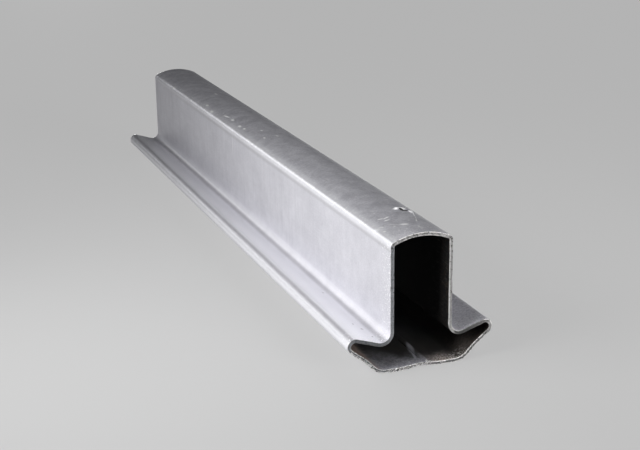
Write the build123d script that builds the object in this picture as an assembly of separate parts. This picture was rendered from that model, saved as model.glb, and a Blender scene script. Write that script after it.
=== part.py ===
from build123d import *
import os
from math import asin, atan2, cos, degrees, hypot, radians, sin

# A cut length of closed hat profile, roll-formed from one galvanised steel strip
# whose edges are butt-welded along the middle of the base. A tall narrow box with
# a crowned top stands on a hollow foot that flares into two rolled wings.
# X runs across the profile, Y along it and Z up. The origin is in the middle of
# the length, on the plane that the base lies on.

# Driving dimensions in millimetres, slopes in degrees
length = 377.0
wall = 1.5
height = 57.5

# The box: its outside width, and how far its top bows up above the side walls
box_width = 27.0
crown_rise = 3.3

# The wings: tip to tip, highest point, and the slope of their upper faces
wing_span = 64.0
wing_height = 16.7
wing_slope = 18.0

# The foot: width of the base between its sharp corners, and how far the
# undersides of the wings are pushed in from a straight line
base_width = 37.6
underside_bow = 0.6

# The shallow dish that the seam lies in, so that the weld clears the floor
dish_width = 16.0
dish_depth = 0.8

# Inside radius of each bend
crown_bend = 0.8
root_bend = 3.8
tip_bend = 1.8
underside_bend = 12.0
base_bend = 7.0
dish_bend = 20.0

# The bead that the weld leaves standing inside the seam
bead_width = 2.8
bead_height = 0.5


def on_line(point, angle, distance):
    """The point at a distance along a line that leaves a point at an angle in degrees."""
    return Vector(point.X + distance * cos(radians(angle)), point.Y + distance * sin(radians(angle)))


def meet(point_a, angle_a, point_b, angle_b):
    """Where two lines cross, each given by a point on it and its angle in degrees."""
    across = point_b - point_a
    turn = radians(angle_b - angle_a)
    reach = (across.X * sin(radians(angle_b)) - across.Y * cos(radians(angle_b))) / sin(turn)
    return on_line(point_a, angle_a, reach)


def tangent_angle(point, centre, radius):
    """Angle of the line from a point that touches a circle on its lower right side."""
    across = centre - point
    distance = hypot(across.X, across.Y)
    return degrees(atan2(across.Y, across.X) - asin(radius / distance))


# Corners of the right half of the outline, outside the metal, before they are bent.
# The wing tip is a circle that the upper face and the underside both touch.
half_box = box_width / 2
shoulder = Vector(half_box, height - crown_rise)
tip_radius = tip_bend + wall
tip_centre = Vector(wing_span / 2 - tip_radius, wing_height - tip_radius)
tip_top = on_line(tip_centre, wing_slope + 90, tip_radius)
root = meet(shoulder, 90, tip_top, wing_slope)

base_corner = Vector(base_width / 2, 0)
chord_angle = tangent_angle(base_corner, tip_centre, tip_radius)
chord_length = hypot(tip_centre.X - base_corner.X, tip_centre.Y - base_corner.Y) * cos(
    radians(degrees(atan2(tip_centre.Y - base_corner.Y, tip_centre.X - base_corner.X)) - chord_angle)
)
underside = on_line(on_line(base_corner, chord_angle, chord_length / 2), chord_angle + 90, underside_bow)
nose = meet(underside, tangent_angle(underside, tip_centre, tip_radius), tip_top, wing_slope)

dish_edge = Vector(dish_width / 2, 0)
seam = Vector(0, dish_depth)

# Outside radius of the bend at each corner: a bend that turns away from the metal's
# outer face has the wall on top of its inside radius
bends = [
    (shoulder, crown_bend + wall),
    (root, root_bend),
    (nose, tip_radius),
    (underside, underside_bend),
    (base_corner, base_bend + wall),
    (dish_edge, dish_bend + wall),
    (seam, dish_bend),
]


def mirrored(point):
    return Vector(-point.X, point.Y)


def profile_outline():
    """The face inside the outer surface of the strip, with every bend rounded."""
    crown = ThreePointArc(mirrored(shoulder), Vector(0, height), shoulder)
    right = [shoulder, root, nose, underside, base_corner, dish_edge, seam]
    left = [mirrored(corner) for corner in reversed(right[:-1])]
    outline = make_face(crown + Polyline(*right, *left))
    for corner, radius in bends:
        bent = [
            vertex
            for vertex in outline.vertices()
            if hypot(abs(vertex.X) - corner.X, vertex.Y - corner.Y) < wall / 100
        ]
        outline = fillet(bent, radius)
    return outline


def weld_bead():
    """The rounded ridge inside the base, rooted half-way into the wall."""
    foot = dish_depth + wall / 2
    left = Vector(-bead_width / 2, foot)
    right = Vector(bead_width / 2, foot)
    top = Vector(0, dish_depth + wall + bead_height)
    return make_face(ThreePointArc(left, top, right) + Line(right, left))


outline = profile_outline()
cavity = offset(outline, amount=-wall)
section = outline - cavity + weld_bead()

hat_profile = extrude(Plane.XZ * section, amount=length / 2, both=True)

os.makedirs("parts", exist_ok=True)
export_step(hat_profile, "parts/hat_profile.step")
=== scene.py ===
from math import asin, atan2, cos, exp, pi, radians, sin, sqrt, tan

import bpy
from mathutils import Euler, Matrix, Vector


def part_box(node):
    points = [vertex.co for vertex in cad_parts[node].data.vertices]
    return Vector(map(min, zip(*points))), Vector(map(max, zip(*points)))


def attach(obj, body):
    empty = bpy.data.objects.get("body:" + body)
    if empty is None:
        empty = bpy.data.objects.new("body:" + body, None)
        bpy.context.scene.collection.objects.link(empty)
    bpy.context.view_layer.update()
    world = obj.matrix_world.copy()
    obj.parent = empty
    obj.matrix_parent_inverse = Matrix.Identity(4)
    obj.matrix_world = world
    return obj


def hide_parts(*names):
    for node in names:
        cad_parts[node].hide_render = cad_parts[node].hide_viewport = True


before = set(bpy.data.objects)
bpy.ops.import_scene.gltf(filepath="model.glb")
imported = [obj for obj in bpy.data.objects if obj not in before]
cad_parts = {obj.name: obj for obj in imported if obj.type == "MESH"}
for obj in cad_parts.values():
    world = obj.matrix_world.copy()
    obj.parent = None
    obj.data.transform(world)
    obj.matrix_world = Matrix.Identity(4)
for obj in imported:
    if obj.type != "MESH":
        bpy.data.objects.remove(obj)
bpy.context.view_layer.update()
mm = 0.001

# The profile: one strip of hot-dip galvanised steel, cold-rolled bend by bend into a tall narrow box on
# a hollow winged foot, butt-welded along the middle of the base and sawn square at both ends, where the
# bare steel shows. Its sizes are the solid model's.
low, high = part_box("hat_profile")
half_length = (high.y - low.y) / 2
height = 57.5 * mm
wall = 1.5 * mm
half_box = 13.5 * mm
crown_rise = 3.3 * mm
wing_span = 64.0 * mm
wing_height = 16.7 * mm
wing_slope = radians(18)
base_half_width = 18.8 * mm
underside_bow = 0.6 * mm
dish_half_width = 8.0 * mm
dish_depth = 0.8 * mm
crown_bend = 0.8 * mm
root_bend = 3.8 * mm
tip_bend = 1.8 * mm
underside_bend = 12.0 * mm
base_bend = 7.0 * mm
dish_bend = 20.0 * mm


def along(point, angle, distance):
    """The point at a distance from another, in a direction given as an angle."""
    return Vector((point.x + distance * cos(angle), point.y + distance * sin(angle)))


def crossing(point_a, angle_a, point_b, angle_b):
    """Where two lines meet, each given by a point on it and its angle."""
    across = point_b - point_a
    reach = (across.x * sin(angle_b) - across.y * cos(angle_b)) / sin(angle_b - angle_a)
    return along(point_a, angle_a, reach)


def touching(point, centre, radius):
    """Angle of the line from a point that touches a circle on its lower right side."""
    across = centre - point
    return atan2(across.y, across.x) - asin(radius / across.length)


# Corners of the right half of the outer surface, from the shoulder down to the weld
shoulder = Vector((half_box, height - crown_rise))
tip_radius = tip_bend + wall
tip_centre = Vector((wing_span / 2 - tip_radius, wing_height - tip_radius))
tip_top = along(tip_centre, wing_slope + pi / 2, tip_radius)
root = crossing(shoulder, pi / 2, tip_top, wing_slope)
base_corner = Vector((base_half_width, 0))
chord_angle = touching(base_corner, tip_centre, tip_radius)
chord_length = sqrt((tip_centre - base_corner).length_squared - tip_radius**2)
chord_middle = along(base_corner, chord_angle, chord_length / 2)
underside = along(chord_middle, chord_angle + pi / 2, underside_bow)
nose = crossing(underside, touching(underside, tip_centre, tip_radius), tip_top, wing_slope)
dish_edge = Vector((dish_half_width, 0))
seam = Vector((0, dish_depth))


# The shallow grooves that the forming rolls' edges leave beside the sharper bends
groove_gap = 1.5 * mm
groove_reach = 0.6 * mm
groove_depth = 0.07 * mm


def spaced(start, end, fine, coarse, growth, features):
    """Distances from start to end: fine steps near the features, growing to coarse ones between."""
    places = [start]
    while places[-1] < end:
        near = min(max(0, abs(places[-1] - centre) - reach) for centre, reach in features)
        places.append(places[-1] + min(coarse, fine + growth * near))
    overshoot = (places[-1] - end) / (len(places) - 1)
    return [place - i * overshoot for i, place in enumerate(places)]


def arc(centre, radius, start, turn, outward, step=0.5 * mm):
    """Points round an arc with their outward normals; outward is 1 on a bulge and -1 in a hollow."""
    count = 1 + int(max(abs(turn) / radians(7), abs(turn) * radius / step))
    angles = [start + turn * i / count for i in range(count + 1)]
    return [(along(centre, a, radius), outward * along(Vector((0, 0)), a, 1)) for a in angles]


def straight(start, end, grooved):
    """Points between the ends of a flat, closer together near its bends, with its outward normal. Where an
    end is grooved, the edge of the forming roll has pressed a shallow groove beside the bend there."""
    way = end - start
    normal = Vector((-way.y, way.x)).normalized()
    ends = [(0, 0), (way.length, 0)]
    steps = spaced(0, way.length, 0.25 * mm, 1.2 * mm, 0.2, ends)[1:-1]
    grooves = [place for place, pressed in zip((groove_gap, way.length - groove_gap), grooved) if pressed]
    points = []
    for step in steps:
        pressed = sum(exp(-(((step - place) / groove_reach) ** 2)) for place in grooves)
        points.append((start + way.normalized() * step - normal * groove_depth * pressed, normal))
    return points


def bend(before, corner, after, radius):
    """The arc that rounds the corner between two flats."""
    way_in = (corner - before).normalized()
    way_out = (after - corner).normalized()
    turn = atan2(way_in.x * way_out.y - way_in.y * way_out.x, way_in.dot(way_out))
    side = 1 if turn > 0 else -1
    touch = corner - way_in * radius * tan(abs(turn) / 2)
    centre = touch + side * radius * Vector((-way_in.y, way_in.x))
    start = atan2(touch.y - centre.y, touch.x - centre.x)
    return arc(centre, radius, start, turn, -side)


def half_outline():
    """The outer surface from the middle of the crown, round the right side, to the weld."""
    crown_radius = (half_box**2 + crown_rise**2) / (2 * crown_rise)
    corner_radius = crown_bend + wall
    reach = crown_radius - corner_radius
    crown_centre = Vector((0, height - crown_radius))
    corner_centre = Vector((half_box - corner_radius, 0))
    corner_centre.y = crown_centre.y + sqrt(reach**2 - corner_centre.x**2)
    lean = atan2(corner_centre.y - crown_centre.y, corner_centre.x)
    points = arc(crown_centre, crown_radius, pi / 2, lean - pi / 2, 1, step=0.32 * mm)
    points += arc(corner_centre, corner_radius, lean, -lean, 1)[1:]

    # Each corner below the shoulder, its outside radius, and which ends of the flat before it are grooved
    turns = [
        (root, root_bend, (True, False)),
        (nose, tip_radius, (True, True)),
        (underside, underside_bend, (False, False)),
        (base_corner, base_bend + wall, (False, False)),
        (dish_edge, dish_bend + wall, (False, False)),
        (seam, dish_bend, (False, False)),
    ]
    corners = [shoulder] + [corner for corner, radius, grooved in turns] + [Vector((-dish_edge.x, 0))]
    for before, (corner, radius, grooved), after in zip(corners, turns, corners[2:]):
        rounded = bend(before, corner, after, radius)
        points += straight(points[-1][0], rounded[0][0], grooved) + rounded
    just_left = -1e-4 * mm
    return [(point, normal) for point, normal in points if point.x > just_left]


# The whole way round, from the weld up the left side, over the crown and down the right side to the weld,
# with one point where the two halves meet there
right_side = half_outline()
left_side = [(Vector((-p.x, p.y)), Vector((-n.x, n.y))) for p, n in reversed(right_side)]
outline = left_side + right_side[1:]
if (outline[0][0] - outline[-1][0]).length < 0.05 * mm:
    outline.pop()


def polyline(name, points, closed=True):
    """A curve of straight runs through points, for a node tree to sweep or to follow."""
    line = bpy.data.curves.new(name, "CURVE")
    line.dimensions = "3D"
    spline = line.splines.new("POLY")
    spline.points.add(len(points) - 1)
    for knot, point in zip(spline.points, points):
        knot.co = (*point, 1)
    spline.use_cyclic_u = closed
    thing = bpy.data.objects.new(name, line)
    bpy.context.scene.collection.objects.link(thing)
    return thing


# Where something struck the crown, 33 mm behind the front cut and near the right-hand bend, and where the
# two edges of the strip meet in the base, a little off its middle
dent_x = 7.0 * mm
dent_y = -155.0 * mm
seam_x = 2.4 * mm

# The wall cut lengthwise, as the sweep takes it: x is the distance along the profile, and y is how far
# outside the middle of the wall. Its points are close together at the dent and at the saw cuts, where the
# edges are broken.
edge_break = 0.10 * mm
end = half_length - edge_break
cuts = [(-end, 0), (end, 0)]
outer_stations = spaced(-end, end, 0.25 * mm, 9.0 * mm, 0.25, cuts + [(dent_y - 1 * mm, 5 * mm)])
inner_stations = spaced(-end, end, 0.30 * mm, 12.0 * mm, 0.35, cuts)
rim = wall / 2 - edge_break
across_cut = [-rim, -rim + 0.07 * mm, -0.17 * wall, 0.17 * wall, rim - 0.07 * mm, rim]
wall_section = [(y, -wall / 2, 0) for y in inner_stations]
wall_section += [(half_length, out, 0) for out in across_cut]
wall_section += [(y, wall / 2, 0) for y in reversed(outer_stations)]
wall_section += [(-half_length, out, 0) for out in reversed(across_cut)]

middle_line = [p - n * wall / 2 for p, n in outline]
strip = polyline("galvanised_profile", [(p.x, 0, p.y) for p in middle_line])
wall_shape = polyline("wall_cut_lengthwise", wall_section)

# How far round the strip each point of its middle line lies, from the weld
way_round = [0.0]
for before, after in zip(middle_line, middle_line[1:] + middle_line[:1]):
    way_round.append(way_round[-1] + (after - before).length)
half_round = way_round[-1] / 2


def way_from_crown(x, z):
    """How far round the strip the outside's nearest place to a point lies from the crown; all in mm."""
    point = Vector((x * mm, z * mm))
    nearest = min(range(len(outline)), key=lambda i: (outline[i][0] - point).length)
    return abs(way_round[nearest] - half_round) / mm


class Field:
    """One socket of a node tree. Arithmetic on it adds Math nodes to the tree."""

    def __init__(self, tree, socket):
        self.tree = tree
        self.socket = socket

    def node(self, kind, settings=None, sockets=None, output=0):
        """Adds a node: its settings first, then a value or a link for each socket. Returns an output."""
        made = self.tree.nodes.new(kind)
        for name, value in (settings or {}).items():
            setattr(made, name, value)
        for name, value in (sockets or {}).items():
            if isinstance(value, Field):
                self.tree.links.new(value.socket, made.inputs[name])
            else:
                made.inputs[name].default_value = value
        return Field(self.tree, made.outputs[output])

    def output(self, name):
        """Another output of the node that this socket belongs to."""
        return Field(self.tree, self.socket.node.outputs[name])

    def math(self, operation, first, second=0.0):
        return self.node("ShaderNodeMath", {"operation": operation}, {0: first, 1: second})

    def __add__(self, value):
        return self.math("ADD", self, value)

    def __radd__(self, value):
        return self.math("ADD", value, self)

    def __sub__(self, value):
        return self.math("SUBTRACT", self, value)

    def __rsub__(self, value):
        return self.math("SUBTRACT", value, self)

    def __mul__(self, value):
        return self.math("MULTIPLY", self, value)

    def __rmul__(self, value):
        return self.math("MULTIPLY", value, self)

    def __truediv__(self, value):
        return self.math("DIVIDE", self, value)

    def __rtruediv__(self, value):
        return self.math("DIVIDE", value, self)

    def size(self):
        return self.math("ABSOLUTE", self)

    def above(self, value):
        """1 where this is more than a value, else 0."""
        return self.math("GREATER_THAN", self, value)

    def ramp(self, start, end, low=0.0, high=1.0):
        """Goes smoothly from low, before start, to high, past end."""
        settings = {"interpolation_type": "SMOOTHSTEP"}
        sockets = {"Value": self, "From Min": start, "From Max": end, "To Min": low, "To Max": high}
        return self.node("ShaderNodeMapRange", settings, sockets)

    def hump(self, centre, reach):
        """1 at the centre, half at the reach on either side, and soon nothing beyond it."""
        off = (self - centre) / reach
        square = off * off
        return 1.0 / (1.0 + square * square)

    def split(self):
        """The x, y and z of a vector."""
        first = self.node("ShaderNodeSeparateXYZ", {}, {"Vector": self}, "X")
        return first, first.output("Y"), first.output("Z")

    def times(self, factor):
        """A vector times a number, or times another vector."""
        if isinstance(factor, tuple):
            return self.node("ShaderNodeVectorMath", {"operation": "MULTIPLY"}, {0: self, 1: factor})
        return self.node("ShaderNodeVectorMath", {"operation": "SCALE"}, {"Vector": self, "Scale": factor})

    def noise(self, scale, detail=2.0, roughness=0.5):
        """Noise from 0 to 1, about 0.5, with so many lumps to a unit of this vector."""
        sockets = {"Vector": self, "Scale": scale, "Detail": detail, "Roughness": roughness}
        return self.node("ShaderNodeTexNoise", {}, sockets)


def sweep_tree(name, outside, inside, sawn):
    """The node tree that rolls the strip: the wall's lengthwise section carried round its middle line,
    then the saw's ragged edge cut into both ends, a notch at the seam and the dent in the crown."""
    tree = bpy.data.node_groups.new(name, "GeometryNodeTree")
    tree.interface.new_socket("Strip", in_out="INPUT", socket_type="NodeSocketGeometry")
    tree.interface.new_socket("Wall section", in_out="INPUT", socket_type="NodeSocketObject")
    for label in (
        "Half length", "Wall", "Raggedness", "Notch depth", "Nibble depth",
        "Seam x", "Dent depth", "Dent x", "Dent y",
    ):
        tree.interface.new_socket(label, in_out="INPUT", socket_type="NodeSocketFloat")
    tree.interface.new_socket("Profile", in_out="OUTPUT", socket_type="NodeSocketGeometry")
    given = Field(tree, tree.nodes.new("NodeGroupInput").outputs["Strip"])

    # The two curves keep their own measures: the way round the strip, and the depth in the wall
    length = given.node("GeometryNodeSplineParameter", {}, {}, "Length")
    way_kept = tree.nodes.new("GeometryNodeCaptureAttribute")
    way_kept.capture_items.new("FLOAT", "Way")
    tree.links.new(given.socket, way_kept.inputs["Geometry"])
    tree.links.new(length.socket, way_kept.inputs["Way"])
    section = given.node("GeometryNodeObjectInfo", {}, {"Object": given.output("Wall section")}, "Geometry")
    depth_kept = tree.nodes.new("GeometryNodeCaptureAttribute")
    depth_kept.capture_items.new("FLOAT", "Depth")
    tree.links.new(section.socket, depth_kept.inputs["Geometry"])
    in_section = 0.0 - given.node("GeometryNodeInputPosition").split()[1]
    tree.links.new(in_section.socket, depth_kept.inputs["Depth"])
    way = Field(tree, way_kept.outputs["Way"])
    depth = Field(tree, depth_kept.outputs["Depth"])
    curves = {"Curve": way.output("Geometry"), "Profile Curve": depth.output("Geometry")}
    swept = given.node("GeometryNodeCurveToMesh", {}, curves)

    # The saw's teeth leave a ragged edge, with a notch here and there in its outer rim and the weld split
    place = given.node("GeometryNodeInputPosition")
    x, y, z = place.split()
    from_end = given.output("Half length") - y.size()
    at_cut = from_end.ramp(0.0, 0.8 * mm, 1.0, 0.0)
    chatter = place.noise(0.9 / mm, 3.0)
    notch = place.noise(0.42 / mm, 1.0).ramp(0.62, 0.70)
    outer_rim = depth.ramp(-0.6 * mm, 0.2 * mm, 1.0, 0.3)
    split_open = x.hump(given.output("Seam x") - 0.8 * mm, 0.7 * mm) * z.ramp(3.5 * mm, 4.5 * mm, 1.0, 0.0)
    bite = chatter * given.output("Raggedness")
    bite = bite + (notch + split_open * 2.5) * outer_rim * given.output("Notch depth")
    inward = 0.0 - y.math("SIGN", y) * bite * at_cut

    # The dent: a slit in the crown with a raised lip behind it and on either side, in the outer face only
    beside = x - given.output("Dent x")
    beyond = y - given.output("Dent y")
    on_crown = z.ramp(height - 5 * mm, height - 4 * mm) * depth.ramp(-0.1 * mm, 0.1 * mm, 1.0, 0.0)
    slit = beside.hump(-0.2 * mm, 1.7 * mm) * beyond.hump(0.0, 1.1 * mm)
    back_lip = beside.hump(0.9 * mm, 2.0 * mm) * beyond.hump(2.6 * mm, 0.5 * mm)
    left_lip = beside.hump(-3.1 * mm, 1.0 * mm) * beyond.hump(0.3 * mm, 0.6 * mm)
    right_lip = beside.hump(2.2 * mm, 0.8 * mm) * beyond.hump(-2.8 * mm, 2.0 * mm)
    lumpy = 0.55 + place.noise(1.1 / mm, 2.0) * 0.9
    pushed = ((back_lip * 0.35 + left_lip * 0.8 + right_lip * 0.6) * lumpy - slit * 0.55) * on_crown

    # On the left of the foot the rim is nibbled away as well
    left_foot = z.ramp(9.5 * mm, 10.5 * mm, 1.0, 0.0) * x.ramp(3.5 * mm, 5.0 * mm, 1.0, 0.0)
    nibbled = place.noise(0.75 / mm, 2.0).ramp(0.46, 0.60) * outer_rim * at_cut * left_foot
    normal = given.node("GeometryNodeInputNormal")
    outward = normal.times(pushed * given.output("Dent depth") - nibbled * given.output("Nibble depth"))
    lengthwise = given.node("ShaderNodeCombineXYZ", {}, {"Y": inward})
    shift = outward.node("ShaderNodeVectorMath", {"operation": "ADD"}, {0: outward, 1: lengthwise})
    shaped = given.node("GeometryNodeSetPosition", {}, {"Geometry": swept, "Offset": shift})

    # The measures go along for the finishes, and each face gets the finish of its side of the metal
    for label, measure in (("strip_way", way), ("wall_depth", depth)):
        sockets = {"Geometry": shaped, "Name": label, "Value": measure}
        shaped = given.node("GeometryNodeStoreNamedAttribute", {"data_type": "FLOAT"}, sockets)
    is_inside = depth.above(given.output("Wall") * 0.45)
    is_sawn = normal.split()[1].size().above(0.35) * (0.5 * mm - from_end).above(0.0)
    for selection, finish in ((True, outside), (is_inside, inside), (is_sawn, sawn)):
        sockets = {"Geometry": shaped, "Selection": selection, "Material": finish}
        shaped = given.node("GeometryNodeSetMaterial", {}, sockets)
    smooth = given.node("GeometryNodeSetShadeSmooth", {}, {"Geometry": shaped})
    real = given.node("GeometryNodeRealizeInstances", {}, {"Geometry": smooth})
    tree.links.new(real.socket, tree.nodes.new("NodeGroupOutput").inputs["Profile"])
    return tree


def material(name, colour, metallic, roughness):
    """A new material, its Principled shader, and the place on the object in millimetres."""
    made = bpy.data.materials.new(name)
    made.use_nodes = True
    tree = made.node_tree
    shader = tree.nodes["Principled BSDF"]
    shader.inputs["Base Color"].default_value = (*colour, 1)
    shader.inputs["Metallic"].default_value = metallic
    shader.inputs["Roughness"].default_value = roughness
    coordinates = tree.nodes.new("ShaderNodeTexCoord")
    return made, shader, Field(tree, coordinates.outputs["Object"]).times(1 / mm)


def blend(share, first, second):
    """A colour between two, each of them a tuple or a field."""
    sockets = {0: share}
    for slot, colour in ((6, first), (7, second)):
        sockets[slot] = colour if isinstance(colour, Field) else (*colour, 1)
    return share.node("ShaderNodeMix", {"data_type": "RGBA"}, sockets, 2)


def feed(shader, base_color=None, roughness=None, metallic=None, height=None):
    """Links fields to the shader, and a height in millimetres to its normal through a bump."""
    links = base_color.tree.links
    for name, field in (("Base Color", base_color), ("Roughness", roughness), ("Metallic", metallic)):
        if field is not None:
            links.new(field.socket, shader.inputs[name])
    if height is not None:
        bump = height.node("ShaderNodeBump", {}, {"Height": height, "Distance": 1 * mm, "Strength": 1.0})
        links.new(bump.socket, shader.inputs["Normal"])


def spot(place, x, y, z, half_x, half_y, turn=0.0, half_z=12):
    """1 at a point of the surface, fading to 0 at the rim of an ellipse about it; all in mm."""
    scale = (half_x, half_y, half_z)
    sockets = {"Vector": place, "Location": (x, y, z), "Rotation": (0, 0, turn), "Scale": scale}
    local = place.node("ShaderNodeMapping", {"vector_type": "TEXTURE"}, sockets)
    away = local.node("ShaderNodeVectorMath", {"operation": "LENGTH"}, {0: local}, "Value")
    return away.ramp(0.35, 1.0, 1.0, 0.0)


def stroke(place, x1, y1, x2, y2, z, width):
    """A scratch between two points of the surface; all in mm."""
    way = Vector((x2 - x1, y2 - y1))
    turn = atan2(way.y, way.x)
    return spot(place, (x1 + x2) / 2, (y1 + y2) / 2, z, way.length / 2 + width / 2, width / 2, turn)


def total(marks):
    """Several marks as one field, never more than 1."""
    sum_so_far = marks[0]
    for mark in marks[1:]:
        sum_so_far = sum_so_far + mark
    return sum_so_far.math("MINIMUM", sum_so_far, 1.0)


# Dull zinc. Its grain, rolling lines and wiping streaks follow the strip round the bends. The crown was
# scratched as the length was handled, and the saw threw nicks into the zinc beside the front cut.
zinc, zinc_shader, place = material("dull_zinc", (0.64, 0.65, 0.68), 0.55, 0.36)
x, y, z = place.split()
from_cut = y + half_length / mm
way = place.node("ShaderNodeAttribute", {"attribute_name": "strip_way"}, {}, "Fac") / mm
on_strip = place.node("ShaderNodeCombineXYZ", {}, {"X": way, "Y": y})
grain = on_strip.noise(1.6, 3.0, 0.6)
speckle = on_strip.noise(0.9, 2.0, 0.75)
cloud = on_strip.noise(0.045, 3.0, 0.55)
patch = on_strip.noise(0.16, 4.0, 0.65)
rolled = on_strip.times((3.2, 0.012, 1.0)).noise(1.0, 3.0, 0.6)
wiped = on_strip.times((0.02, 0.75, 1.0)).noise(1.0, 4.0, 0.65)
slant = {"Vector": on_strip, "Rotation": (0.0, 0.0, radians(14)), "Scale": (8.0, 0.9, 1.0)}
brushed = on_strip.node("ShaderNodeMapping", {"vector_type": "TEXTURE"}, slant).noise(1.0, 3.0, 0.65)
off_crown = (way - half_round / mm).size()
left = x.ramp(-2.0, 2.0, 1.0, 0.0)
# Painted highlight on the bends: lightened where the lamps catch them, fading towards the far end and weaker
# on the right; the rolls also polished them a little.
polish_and_highlight = total([
    off_crown.hump(way_from_crown(-12.6, 54.5), 2.4) * y.ramp(-30.0, 150.0, 1.0, 0.3),
    off_crown.hump(way_from_crown(-13.8, 15.8), 1.6) * (0.5 - left * 0.05),
    off_crown.hump(way_from_crown(-31.8, 14.5), 1.2) * left,
])
# Painted shade: thin dark lines under the bright bands and along the left tip, where the surface turns away
# from the light, fading towards the far end.
dark_lines_shade = total([
    off_crown.hump(way_from_crown(-13.5, 51.2), 0.9) * y.ramp(60.0, 150.0, 0.8, 0.2),
    off_crown.hump(way_from_crown(-15.7, 13.7), 1.3) * left * 0.8,
    off_crown.hump(way_from_crown(-30.2, 16.4), 1.1) * left,
])
on_wall = x.size().ramp(half_box / mm - 0.3, half_box / mm - 0.1) * z.ramp(17.0, 19.0)
on_crown = z.ramp(shoulder.y / mm - 0.8, shoulder.y / mm)
beside_cut = from_cut.ramp(1.5, 14.0, 1.0, 0.0)
nicked = on_strip.noise(1.3, 2.0, 0.6).ramp(0.57, 0.63) * beside_cut
crown_nicked = on_strip.noise(0.5, 3.0, 0.7).ramp(0.60, 0.68) * on_crown
crown_nicked = crown_nicked * from_cut.ramp(30.0, 90.0, 1.0, 0.6)
knocked = on_strip.noise(0.7, 2.0, 0.7).ramp(0.56, 0.64) * off_crown.hump(way_from_crown(-12.2, 55.0), 1.6)

# Scratches and nicks that the photo shows: those near the front cut, then those along the crown
scratches = total([
    stroke(place, -8.1, -162.8, -6.3, -163.6, 56, 1.1),
    stroke(place, -6.2, -164.6, -3.4, -163.3, 56, 1.3),
    stroke(place, -6.7, -166.6, -4.6, -166.7, 56, 1.4),
    stroke(place, -3.2, -175.0, -0.7, -176.2, 57, 2.3),
    stroke(place, -8.0, -170.4, -3.0, -175.4, 57, 0.6) * 0.6,
    stroke(place, 1.6, -179.2, 3.2, -183.4, 56, 0.7),
    stroke(place, 9.4, -159.5, 7.6, -165.2, 56, 0.7),
    stroke(place, 7.6, -165.2, 6.0, -169.9, 56, 0.5),
    stroke(place, 6.2, -169.0, 4.2, -174.2, 56, 0.8),
    stroke(place, -10.4, -170.2, -9.4, -172.2, 56, 0.9) * 0.8,
    stroke(place, -11.0, -175.3, -10.4, -176.2, 56, 1.1),
    stroke(place, -12.2, -170.3, -11.5, -172.2, 55, 1.6) * 0.6,
    spot(place, -12.8, 144.0, 54.6, 1.4, 3.6, 0.0, 1.6),
    spot(place, -11.2, 66.0, 55, 1.0, 3.0),
    spot(place, -9.8, 80.0, 56, 1.0, 3.0),
    spot(place, 1.7, 101.1, 57, 1.1, 3.0),
    stroke(place, -9.2, 51.0, -7.8, 41.0, 56, 1.3),
    spot(place, -8.2, 36.0, 56, 1.1, 3.0),
    spot(place, -9.0, 21.0, 56, 1.1, 2.6),
    spot(place, -8.6, 14.0, 56, 0.9, 2.2),
    spot(place, -3.0, 2.0, 57, 0.8, 1.8),
    spot(place, -6.2, -12.0, 57, 0.8, 1.8),
    spot(place, 0.4, -13.0, 57, 0.9, 1.8),
    stroke(place, -4.0, -10.5, 8.0, -15.5, 57, 0.5) * 0.5,
])

# At the dent the zinc is torn round a slit, and the left wing has a few pits. The torn lips are lightened,
# partly bare zinc and partly painted highlight, and the slit and the pits are darkened with painted shade.
torn_and_lit_lips = total([
    spot(place, 3.7, -154.6, 57, 2.3, 1.4, 0.25),
    spot(place, 7.0, -152.5, 56, 3.1, 1.7, -0.1),
    spot(place, 9.2, -157.8, 56, 1.5, 3.1),
])
slit = total([
    spot(place, 6.3, -154.6, 57, 1.4, 2.4),
    stroke(place, 6.4, -154.4, 9.2, -155.2, 57, 2.2),
])
pits = total([
    spot(place, -21.1, -167.4, 14, 0.5, 0.9),
    spot(place, -19.2, -172.4, 14, 0.9, 0.7),
    spot(place, -18.2, -181.0, 14, 0.6, 0.7),
    spot(place, -18.4, -126.1, 14, 0.5, 0.9),
])

# Clouded, grainy and streaked all over, each to its own degree on the crown, the walls and the wings
on_wing = x.size().ramp(16.0, 18.0) * x.size().ramp(28.5, 30.5, 1.0, 0.0) * z.ramp(12.8, 13.4)
on_right_wing = on_wing * (1.0 - left)
mottled = (patch - 0.5) * (0.8 + on_crown * 1.6)
mottled = mottled + (speckle - 0.5) * (0.5 + on_crown * 0.9 + on_right_wing * 2.5)
mottled = mottled + (brushed - 0.5) * on_crown * y.ramp(-150.0, 40.0, 0.40, 0.10)
tone = 0.5 + (grain - 0.5) * 1.1 + mottled + (cloud - 0.5) * 0.7 + (rolled - 0.5) * 0.4
tone = tone + (wiped - 0.5) * on_wall * from_cut.ramp(20.0, 110.0, 0.15, 0.6)
# Painted shade in the slit and the pits.
slit_and_pit_shade = total([slit * 1.6, pits * 0.6])
wall_line = spot(place, -13.5, 20.5, 46, 3.0, 0.7, 0.0, 8.0) * 0.35
worn = total([nicked * 0.8, crown_nicked * 0.5, knocked * 0.8, scratches, torn_and_lit_lips, wall_line]) * (1.0 - slit_and_pit_shade)
dull_zinc = (0.525, 0.52, 0.565)
fresh_zinc = (0.765, 0.76, 0.805)
lit_wing_zinc = (0.90, 0.90, 0.93)
highlight_zinc = (0.92, 0.92, 0.96)
groove_shade_grey = (0.20, 0.20, 0.21)
scratched_zinc = (0.98, 0.98, 0.99)
in_shadow = (0.02, 0.02, 0.02)
colour = blend(tone, dull_zinc, fresh_zinc)
# Painted light: the left wing is lightened, most towards its tip, as if lit by the bright wall beside it.
colour = blend(on_wing * left * x.ramp(-26.0, -18.0, 0.85, 0.40), colour, lit_wing_zinc)
# The bends get their painted highlight.
colour = blend(polish_and_highlight * 0.70, colour, highlight_zinc)
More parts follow.
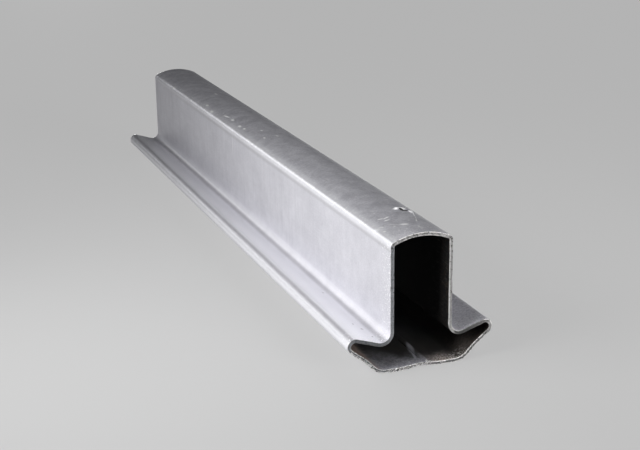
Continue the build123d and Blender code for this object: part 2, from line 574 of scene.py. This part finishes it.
# The thin dark lines of painted shade.
colour = blend(dark_lines_shade * 0.35, colour, groove_shade_grey)
colour = blend(worn, colour, scratched_zinc)
colour = blend(slit_and_pit_shade, colour, in_shadow)
metallic = 0.55 + on_crown * 0.12 - on_wing * 0.08 - total([worn, slit_and_pit_shade]) * 0.35
roughness = 0.46 - polish_and_highlight * 0.06 - on_wing * 0.06 - worn * 0.08
roughness = roughness + (patch - 0.5) * 0.16 + (grain - 0.5) * 0.14
height_of_marks = scratches * 0.12 + nicked * 0.05 + torn_and_lit_lips * 0.25 - pits * 0.10 - slit * 0.3
feed(zinc_shader, colour, roughness, metallic, height=grain * 0.008 + rolled * 0.006 + height_of_marks)

# Inside, the zinc is painted dark as shade, darkest near the ends and at the mouth of the upper walls, with
# rolling oil and dust.
# Near the cuts the base is lighter, as painted light that fades inwards: blue-grey on the left of the seam,
# and brown with rust and bright swarf on its right. A pale streak lies beside the seam.
shaded_oily_zinc, shaded_oily_shader, place = material("oiled_zinc", (0.03, 0.03, 0.03), 0.2, 0.6)
shaded_oily_shader.inputs["Specular IOR Level"].default_value = 0.25
x, y, z = place.split()
from_cut = y + half_length / mm
from_end = half_length / mm - y.size()
cloud = place.noise(0.22, 4.0, 0.65)
mottle = place.noise(0.9, 3.0, 0.7)
grain = place.noise(2.2, 3.0, 0.65)
low_down = z.ramp(2.6, 9.5, 1.0, 0.0)
shorter = x.ramp(1.0, 8.0) * 1.3 + x.hump(0.0, 6.5)
reach = from_end * (1.0 + shorter) + (cloud - 0.5) * 24.0 + (mottle - 0.5) * 6.0
clean_and_lit_part = low_down * reach.ramp(-4.0, 27.0, 1.0, 0.0) * (1.0 - x.ramp(12.0, 17.0) * 0.95)
clean_and_lit_part = clean_and_lit_part * mottle.ramp(0.35, 0.65, 0.55, 1.10)
rusty = x.ramp(1.0, 8.0) * mottle.ramp(0.25, 0.55, 0.5, 1.0)
left = x.ramp(-2.0, 2.0, 1.0, 0.0)
tip_rust = x.size().ramp(16.0, 20.0) * mottle.ramp(0.30, 0.60) * (0.12 + left * 0.88)
swarf = place.noise(1.5, 1.0, 0.5).ramp(0.52, 0.60) * x.ramp(4.0, 8.0) * z.ramp(2.2, 5.0, 1.0, 0.0)
swarf = swarf * from_cut.ramp(1.0, 8.0, 1.0, 0.0)
dirt = place.noise(1.2, 2.0, 0.6).ramp(0.52, 0.62) * x.ramp(2.0, 6.0) * from_cut.ramp(2.0, 14.0, 1.0, 0.0)
streak = total([
    stroke(place, -0.7, -185.0, 1.6, -176.0, 2, 1.6),
    stroke(place, 0.4, -180.5, 3.7, -166.5, 2, 3.4) * 0.9,
])
scuffs = place.times((1.0, 0.25, 1.6)).noise(1.0, 3.0, 0.6).ramp(0.54, 0.70)
scuffs = scuffs * x.ramp(11.7, 11.9) * z.ramp(15.0, 17.0) * from_cut.ramp(4.0, 40.0, 1.0, 0.0)
mouth_in_shade = from_cut.ramp(0.5, 9.0, 1.0, 0.0) * z.ramp(12.0, 17.0)
wall_shade_near_ends = (0.020, 0.020, 0.021)
dusty_wall = (0.150, 0.150, 0.152)
mouth_shade = (0.009, 0.009, 0.010)
base_shade_near_ends = (0.045, 0.042, 0.040)
clean_base = (0.56, 0.56, 0.62)
rusty_base = (0.40, 0.30, 0.23)
dark_grain = (0.09, 0.08, 0.08)
wing_rust = (0.34, 0.26, 0.22)
brown_dirt = (0.06, 0.045, 0.035)
pale_streak = (0.66, 0.66, 0.74)
bright_swarf = (0.80, 0.77, 0.73)
# Painted shade: the walls darkest near the ends and at the mouth, the base dark near the ends.
colour = blend(from_end.ramp(8.0, 70.0), wall_shade_near_ends, dusty_wall)
colour = blend(mouth_in_shade, colour, mouth_shade)
colour = blend(low_down * from_end.ramp(15.0, 40.0, 1.0, 0.0), colour, base_shade_near_ends)
# Painted light near the cuts, fading inwards, over the base's own blue-grey and rust.
colour = blend(clean_and_lit_part, colour, clean_base)
colour = blend(clean_and_lit_part * rusty, colour, rusty_base)
colour = blend(grain.ramp(0.42, 0.62, 0.0, 0.5) * clean_and_lit_part, colour, dark_grain)
colour = blend(tip_rust * 0.9, colour, wing_rust)
colour = blend(dirt * 0.7, colour, brown_dirt)
colour = blend(streak * 0.5, colour, pale_streak)
bright = total([swarf * 0.8, scuffs * 0.08])
colour = blend(bright, colour, bright_swarf)
roughness = 0.62 - bright * 0.2 + (grain - 0.5) * 0.2
feed(shaded_oily_shader, colour, roughness, height=grain * 0.02 + bright * 0.03)

# The saw cut: bare steel with fine saw lines and specks of dirt, and a painted highlight along the rim at
# either face of the sheet. It is dull where the blade went in, on the wings, and bright where it tore out,
# along the base.
sawn, sawn_shader, place = material("sawn_steel", (0.50, 0.49, 0.48), 0.4, 0.45)
x, y, z = place.split()
depth = place.node("ShaderNodeAttribute", {"attribute_name": "wall_depth"}, {}, "Fac") / mm
bright_rim = depth.size().ramp(0.36, 0.62)
inner_rim = depth.ramp(0.25, 0.50)
lines = place.times((0.9, 0.4, 4.2)).noise(1.0, 2.0, 0.6)
crumbs = place.noise(1.3, 3.0, 0.7)
blotches = place.noise(0.8, 3.0, 0.7)
right = x.ramp(-2.0, 2.0)
on_wall = x.size().ramp(11.6, 12.4) * z.ramp(52.5, 54.0, 1.0, 0.0)
on_wing = x.size().ramp(14.0, 15.5) * x.size().ramp(28.0, 30.5, 1.0, 0.3)
under_left_tip = x.ramp(-27.0, -25.0, 1.0, 0.0) * z.ramp(11.8, 13.4, 1.0, 0.0)
on_foot = total([z.ramp(9.5, 11.5, 1.0, 0.0), under_left_tip])
level = 0.29 + on_wall * (right * 0.12 - 0.08)
left_wing_level = depth.size().ramp(0.1, 0.5, 0.15, 0.07)
right_wing_level = x.ramp(19.0, 28.0) * 0.10 + 0.05
wing_level = left_wing_level + right * (right_wing_level - left_wing_level)
level = level + on_wing * (wing_level - level)
level = level + on_foot * (right * 0.04 + 0.12 - level)
torn_out = total([on_foot, z.ramp(54.0, 55.5)])
blotched = 1.0 + (blotches - 0.5) * (1.2 + torn_out * 3.4)
level = level * blotched * (0.7 + crumbs * 0.5 + lines * 0.2) * depth.ramp(-0.5, 0.6, 0.85, 1.10)
black = (0.0, 0.0, 0.0)
bare_steel = (1.0, 0.985, 0.975)
cooler = (0.86, 0.96, 1.12)
torn_and_highlight_steel = (0.95, 0.93, 0.92)
cut_dirt = (0.03, 0.028, 0.027)
colour = blend(level, black, bare_steel)
colour = blend(total([on_wing, on_wall]) * (1.0 - right) * 0.5, colour, colour.times(cooler))
# Painted highlight: a light line along the rims, strongest where the steel tore out, at the right wing's
# root and tip, and inside the right wall.
rim_light = bright_rim * blotches.ramp(0.34, 0.46) * (0.12 + torn_out * 0.85)
at_root = x.hump(15.0, 1.8) * z.hump(14.6, 2.2)
tip_rim = depth.ramp(-0.55, -0.25, 1.0, 0.0) * total([at_root, x.ramp(27.0, 29.0) * z.ramp(11.0, 12.0)])
rim_light = total([rim_light, inner_rim * on_wall * right * z.ramp(15.0, 18.0) * 0.6, tip_rim * 0.7])
colour = blend(rim_light, colour, torn_and_highlight_steel)


def on_front_cut(x, z, half_x, half_z):
    """A spot on the front cut; all in mm."""
    return spot(place, x, -half_length / mm, z, half_x, 9.0, 0.0, half_z)


specks = total([
    on_front_cut(-3.7, 56.8, 0.35, 0.5),
    on_front_cut(0.9, 57.0, 0.60, 0.4),
    on_front_cut(4.2, 56.3, 0.35, 0.5),
    on_front_cut(12.9, 53.4, 0.45, 0.5),
    on_front_cut(13.1, 51.9, 0.35, 0.45),
    on_front_cut(12.8, 50.2, 0.45, 0.6),
    on_front_cut(13.1, 47.9, 0.30, 0.7),
    on_front_cut(1.6, 1.6, 0.60, 0.9),
    on_front_cut(-13.1, 52.6, 0.45, 0.7),
    place.noise(1.1, 2.0, 0.6).ramp(0.60, 0.66) * 0.7,
])
colour = blend(specks * 0.85, colour, cut_dirt)
seam_flash = total([
    on_front_cut(2.7, 1.9, 0.45, 1.6),
    on_front_cut(4.1, 2.1, 1.2, 0.5),
    on_front_cut(10.7, 1.3, 0.8, 0.5),
])
colour = blend(seam_flash * 0.9, colour, torn_and_highlight_steel)
feed(sawn_shader, colour, 0.42 + crumbs * 0.15, height=lines * 0.04 + crumbs * 0.05 - specks * 0.1)


def shape_by_tree(source, tree, values):
    """Runs a node tree on a curve and returns its result as a plain mesh object of the same name."""
    run = source.modifiers.new("shape", "NODES")
    run.node_group = tree
    for item in tree.interface.items_tree:
        if item.name in values:
            run[item.identifier] = values[item.name]
    graph = bpy.context.evaluated_depsgraph_get()
    result = bpy.data.meshes.new_from_object(source.evaluated_get(graph))

    # The curve's own material slot comes first and is empty
    if result.materials[0] is None:
        result.materials.pop(index=0)
    name = source.name
    bpy.data.objects.remove(source)
    piece = bpy.data.objects.new(name, result)
    result.name = name
    bpy.context.scene.collection.objects.link(piece)
    return piece


profile = shape_by_tree(
    strip,
    sweep_tree("roll_and_saw_the_strip", zinc, shaded_oily_zinc, sawn),
    {
        "Wall section": wall_shape,
        "Half length": half_length,
        "Wall": wall,
        "Raggedness": 0.20 * mm,
        "Notch depth": 0.45 * mm,
        "Nibble depth": 0.60 * mm,
        "Seam x": seam_x,
        "Dent depth": 1.0 * mm,
        "Dent x": dent_x,
        "Dent y": dent_y,
    },
)
bpy.data.objects.remove(wall_shape)
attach(profile, "root")
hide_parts("hat_profile")

# The weld's inner bead: steel squeezed up between the strip's edges as they were pressed together hot,
# left rough where no tool could reach it. It runs the whole length, more than half sunk in the base.
bead_half_width = 1.4 * mm
bead_rise = 0.30 * mm
bead_sink = 0.12 * mm
bead_set_back = 0.2 * mm


def bead_tree(name, finish):
    """The node tree that lays the bead: a flattened circle swept along the seam, its rise uneven."""
    tree = bpy.data.node_groups.new(name, "GeometryNodeTree")
    tree.interface.new_socket("Seam", in_out="INPUT", socket_type="NodeSocketGeometry")
    for label in ("Half width", "Rise", "Step", "Unevenness"):
        tree.interface.new_socket(label, in_out="INPUT", socket_type="NodeSocketFloat")
    tree.interface.new_socket("Bead", in_out="OUTPUT", socket_type="NodeSocketGeometry")
    given = Field(tree, tree.nodes.new("NodeGroupInput").outputs["Seam"])
    along_seam = {"Curve": given, "Length": given.output("Step")}
    path = given.node("GeometryNodeResampleCurve", {"mode": "LENGTH"}, along_seam)
    circle = given.node("GeometryNodeCurvePrimitiveCircle", {}, {"Resolution": 14, "Radius": 1.0}, "Curve")
    oval = {"X": given.output("Half width"), "Y": given.output("Rise"), "Z": 1.0}
    flat = given.node("ShaderNodeCombineXYZ", {}, oval)
    section = given.node("GeometryNodeTransform", {}, {"Geometry": circle, "Scale": flat})
    sockets = {"Curve": path, "Profile Curve": section, "Fill Caps": True}
    swept = given.node("GeometryNodeCurveToMesh", {}, sockets)
    place = given.node("GeometryNodeInputPosition")
    ripple = place.noise(0.55 / mm, 2.0) - 0.5
    wander = place.times((0.0, 1.0, 0.0)).noise(0.10 / mm, 2.0) - 0.5
    rise = ripple * given.output("Unevenness")
    offset = given.node("ShaderNodeCombineXYZ", {}, {"X": wander * given.output("Unevenness"), "Z": rise})
    shaped = given.node("GeometryNodeSetPosition", {}, {"Geometry": swept, "Offset": offset})
    coated = given.node("GeometryNodeSetMaterial", {}, {"Geometry": shaped, "Material": finish})
    smooth = given.node("GeometryNodeSetShadeSmooth", {}, {"Geometry": coated})
    real = given.node("GeometryNodeRealizeInstances", {}, {"Geometry": smooth})
    tree.links.new(real.socket, tree.nodes.new("NodeGroupOutput").inputs["Bead"])
    return tree


bead_end = half_length - bead_set_back
bead_z = dish_depth + wall - bead_sink
seam_line = polyline("inner_weld_bead", [(seam_x, y, bead_z) for y in (-bead_end, bead_end)], closed=False)
bead = shape_by_tree(
    seam_line,
    bead_tree("lay_the_bead", shaded_oily_zinc),
    {"Half width": bead_half_width, "Rise": bead_rise, "Step": 1.0 * mm, "Unevenness": 0.20 * mm},
)
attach(bead, "root")

# Burrs: slivers of bright steel that the saw tore out and left hanging on the cut edges, thickest where
# the blade left the metal, along the base and the underside of the left wing.
floor_gap = 0.02 * mm


def burr_tree(name, finish):
    """The node tree that hangs the burrs: small shards strewn along an edge, thick in some places and
    thin in others, each with its own size and turn, and kept off the floor."""
    tree = bpy.data.node_groups.new(name, "GeometryNodeTree")
    tree.interface.new_socket("Edge", in_out="INPUT", socket_type="NodeSocketGeometry")
    for label in ("Spacing", "Shard", "Spread", "Bareness"):
        tree.interface.new_socket(label, in_out="INPUT", socket_type="NodeSocketFloat")
    tree.interface.new_socket("Seed", in_out="INPUT", socket_type="NodeSocketInt")
    tree.interface.new_socket("Burrs", in_out="OUTPUT", socket_type="NodeSocketGeometry")
    given = Field(tree, tree.nodes.new("NodeGroupInput").outputs["Edge"])
    seed = given.output("Seed")
    full_turn = 2 * pi

    def random_vector(least, most, offset):
        """A vector for each point, from the least to the most."""
        sockets = {0: least, 1: most, "Seed": seed.math("ADD", seed, offset)}
        return given.node("FunctionNodeRandomValue", {"data_type": "FLOAT_VECTOR"}, sockets)

    along_edge = {"Curve": given, "Length": given.output("Spacing")}
    points = given.node("GeometryNodeCurveToPoints", {"mode": "LENGTH"}, along_edge)
    astray = random_vector((-1.0, -0.8, -1.0), (1.0, 0.5, 1.0), 1).times(given.output("Spread"))
    strewn = given.node("GeometryNodeSetPosition", {}, {"Geometry": points, "Offset": astray})
    place = given.node("GeometryNodeInputPosition")
    shard = given.node("GeometryNodeMeshIcoSphere", {}, {"Radius": given.output("Shard"), "Subdivisions": 2})
    sockets = {
        "Points": strewn,
        "Selection": place.noise(0.22 / mm, 2.0).above(given.output("Bareness")),
        "Instance": shard,
        "Rotation": random_vector((0.0, 0.0, 0.0), (full_turn, full_turn, full_turn), 2),
        "Scale": random_vector((0.5, 0.3, 0.15), (1.5, 0.9, 0.5), 3),
    }
    hung = given.node("GeometryNodeInstanceOnPoints", {}, sockets)
    real = given.node("GeometryNodeRealizeInstances", {}, {"Geometry": hung})
    knock = place.noise(1.8 / mm, 1.0).output("Color")
    knock = knock.node("ShaderNodeVectorMath", {"operation": "SUBTRACT"}, {0: knock, 1: (0.5, 0.5, 0.5)})
    crumpled = {"Geometry": real, "Offset": knock.times(given.output("Shard") * 1.6)}
    knocked = given.node("GeometryNodeSetPosition", {}, crumpled)
    x, y, z = place.split()
    lifted = given.node("ShaderNodeCombineXYZ", {}, {"X": x, "Y": y, "Z": z.math("MAXIMUM", z, floor_gap)})
    kept_up = given.node("GeometryNodeSetPosition", {}, {"Geometry": knocked, "Position": lifted})
    coated = given.node("GeometryNodeSetMaterial", {}, {"Geometry": kept_up, "Material": finish})
    tree.links.new(coated.socket, tree.nodes.new("NodeGroupOutput").inputs["Burrs"])
    return tree


torn_steel, torn_shader, place = material("torn_steel", (0.72, 0.71, 0.70), 0.6, 0.35)
crumbs = place.noise(1.5, 3.0, 0.7)
dirty_steel = (0.10, 0.09, 0.085)
clean_steel = (0.92, 0.91, 0.90)
colour = blend(crumbs.ramp(0.36, 0.60), dirty_steel, clean_steel)
feed(torn_shader, colour, 0.30 + crumbs * 0.2)
hang_burrs = burr_tree("hang_the_burrs", torn_steel)


front = -half_length + 0.10 * mm
back = half_length - 0.15 * mm


def edge_between(left, right, lowest, highest, inset, y=front):
    """The part of a cut edge that lies in a window, set inwards from the outer face of the sheet; the
    window and the inset are in mm."""
    half = len(outline) // 2
    way = outline if lowest * mm > wing_height else outline[half:] + outline[:half]
    inside = [(p, n) for p, n in way if left < p.x / mm < right and lowest < p.y / mm < highest]
    return [(p.x - n.x * inset * mm, y, p.y - n.y * inset * mm) for p, n in inside]


base_left = edge_between(-19.0, 4.0, lowest=-1.0, highest=2.0, inset=0.85)
under_left = edge_between(-31.0, -18.0, lowest=-1.0, highest=12.0, inset=0.50)
base_right = edge_between(4.0, 19.0, lowest=-1.0, highest=2.0, inset=1.0)
crown_edge = edge_between(-11.0, 14.0, lowest=50.0, highest=60.0, inset=0.4)
back_base = edge_between(-20.0, 20.0, lowest=-1.0, highest=3.0, inset=0.7, y=back)
up_the_seam = [(seam_x, front, z * mm) for z in (1.1, 1.6, 2.2, 2.8, 3.2)]
seam_lump = [(x * mm, front, z * mm) for x, z in ((3.0, 2.3), (4.6, 2.2))]

# For each run of burrs: its edge, its spacing, the size and the spread of its shards in mm, how much of the
# edge stays bare, and a seed
edges = {
    "base_burrs": (base_left, 0.24, 0.40, 0.38, 0.40, 1),
    "wing_burrs": (under_left, 0.26, 0.34, 0.25, 0.36, 2),
    "base_crumbs": (base_right, 0.40, 0.26, 0.30, 0.52, 7),
    "seam_burrs": (up_the_seam, 0.30, 0.30, 0.10, 0.0, 3),
    "seam_lump": (seam_lump, 0.40, 0.48, 0.15, 0.0, 5),
    "crown_crumbs": (crown_edge, 0.45, 0.20, 0.25, 0.50, 4),
    "back_burrs": (back_base, 0.45, 0.24, 0.30, 0.52, 9),
}
for name, (edge, spacing, shard, spread, bareness, seed) in edges.items():
    burrs = shape_by_tree(
        polyline(name, edge, closed=False),
        hang_burrs,
        {
            "Spacing": spacing * mm,
            "Shard": shard * mm,
            "Spread": spread * mm,
            "Bareness": bareness,
            "Seed": seed,
        },
    )
    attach(burrs, "root")

# The floor: a plain pale sheet that the profile lies on, with nothing else on it. The camera and the metal
# see it pale, and the light it throws back on the profile stays weak, so that the shadows keep their depth.
far = 8.0
floor_corners = [(-far, -far, 0), (far, -far, 0), (far, far, 0), (-far, far, 0)]
floor_mesh = bpy.data.meshes.new("floor")
floor_mesh.from_pydata(floor_corners, [], [(0, 1, 2, 3)])
floor = bpy.data.objects.new("floor", floor_mesh)
bpy.context.scene.collection.objects.link(floor)
pale, pale_shader, place = material("pale_floor", (0.11, 0.11, 0.11), 0.0, 0.8)
floor_mesh.materials.append(pale)
rays = pale.node_tree.nodes.new("ShaderNodeLightPath")
seen = Field(pale.node_tree, rays.outputs["Is Camera Ray"])
seen = seen.math("MAXIMUM", seen, seen.output("Is Glossy Ray"))
seen = seen.math("MAXIMUM", seen, Field(pale.node_tree, rays.outputs["Is Transmission Ray"]))
backdrop_grey = (0.44, 0.44, 0.44)
glow = blend(seen, black, backdrop_grey)
pale_shader.inputs["Emission Strength"].default_value = 1.0
pale.node_tree.links.new(glow.socket, pale_shader.inputs["Emission Color"])

# The light: a soft box close on the left makes the near end the brightest, and one in front reaches into
# the open end. Weak ones light the bends from behind on the left, the crown and the right-hand wing from
# above, and the back cut from low and far behind. The world is a faint even fill.
world = bpy.data.worlds.new("studio")
world.use_nodes = True
bpy.context.scene.world = world
world.node_tree.nodes["Background"].inputs["Color"].default_value = (0.96, 0.97, 1.0, 1)
world.node_tree.nodes["Background"].inputs["Strength"].default_value = 0.08


def soft_box(name, place, target, width, depth, power, spread):
    """A rectangular lamp at a place, turned to face a target, that a grid holds to a cone of this spread."""
    lamp = bpy.data.lights.new(name, "AREA")
    lamp.shape = "RECTANGLE"
    lamp.size = width
    lamp.size_y = depth
    lamp.energy = power
    lamp.spread = spread
    thing = bpy.data.objects.new(name, lamp)
    thing.location = place
    thing.rotation_euler = (Vector(target) - Vector(place)).to_track_quat("-Z", "Y").to_euler()
    thing.visible_camera = False
    bpy.context.scene.collection.objects.link(thing)


soft_box(
    "near_soft_box", place=(-0.28, -0.16, 0.16), target=(0, -0.13, 0.03),
    width=0.26, depth=0.20, power=0.59, spread=1.8,
)
soft_box(
    "far_soft_box", place=(-0.24, 0.42, 0.24), target=(0, -0.19, 0.04),
    width=0.24, depth=0.24, power=0.045, spread=1.2,
)
soft_box(
    "right_soft_box", place=(0.22, -0.22, 0.40), target=(0, -0.16, 0.04),
    width=0.30, depth=0.30, power=0.11, spread=1.8,
)
soft_box(
    "front_soft_box", place=(0.35, -0.90, 0.25), target=(0, -0.17, 0.03),
    width=0.40, depth=0.30, power=0.45, spread=0.9,
)
soft_box(
    "rear_soft_box", place=(0.26, 2.20, 0.02), target=(0, 0.19, 0.03),
    width=0.20, depth=0.03, power=0.16, spread=0.8,
)

# The camera: at the photograph's viewing angle, above the open front end and to the left of it. It stands
# half a metre from the near end, so that the far end looks little more than half as large.
camera = bpy.data.cameras.new("camera")
camera.sensor_width = 36
camera.lens = 73.664
eye = bpy.data.objects.new("camera", camera)
eye.location = (-0.20953, -0.63147, 0.21480)
eye.rotation_euler = Euler((radians(72.528), radians(0.750), radians(-20.851)), "XYZ")
bpy.context.scene.collection.objects.link(eye)
bpy.context.scene.camera = eye
bpy.context.scene.view_settings.view_transform = "Standard"
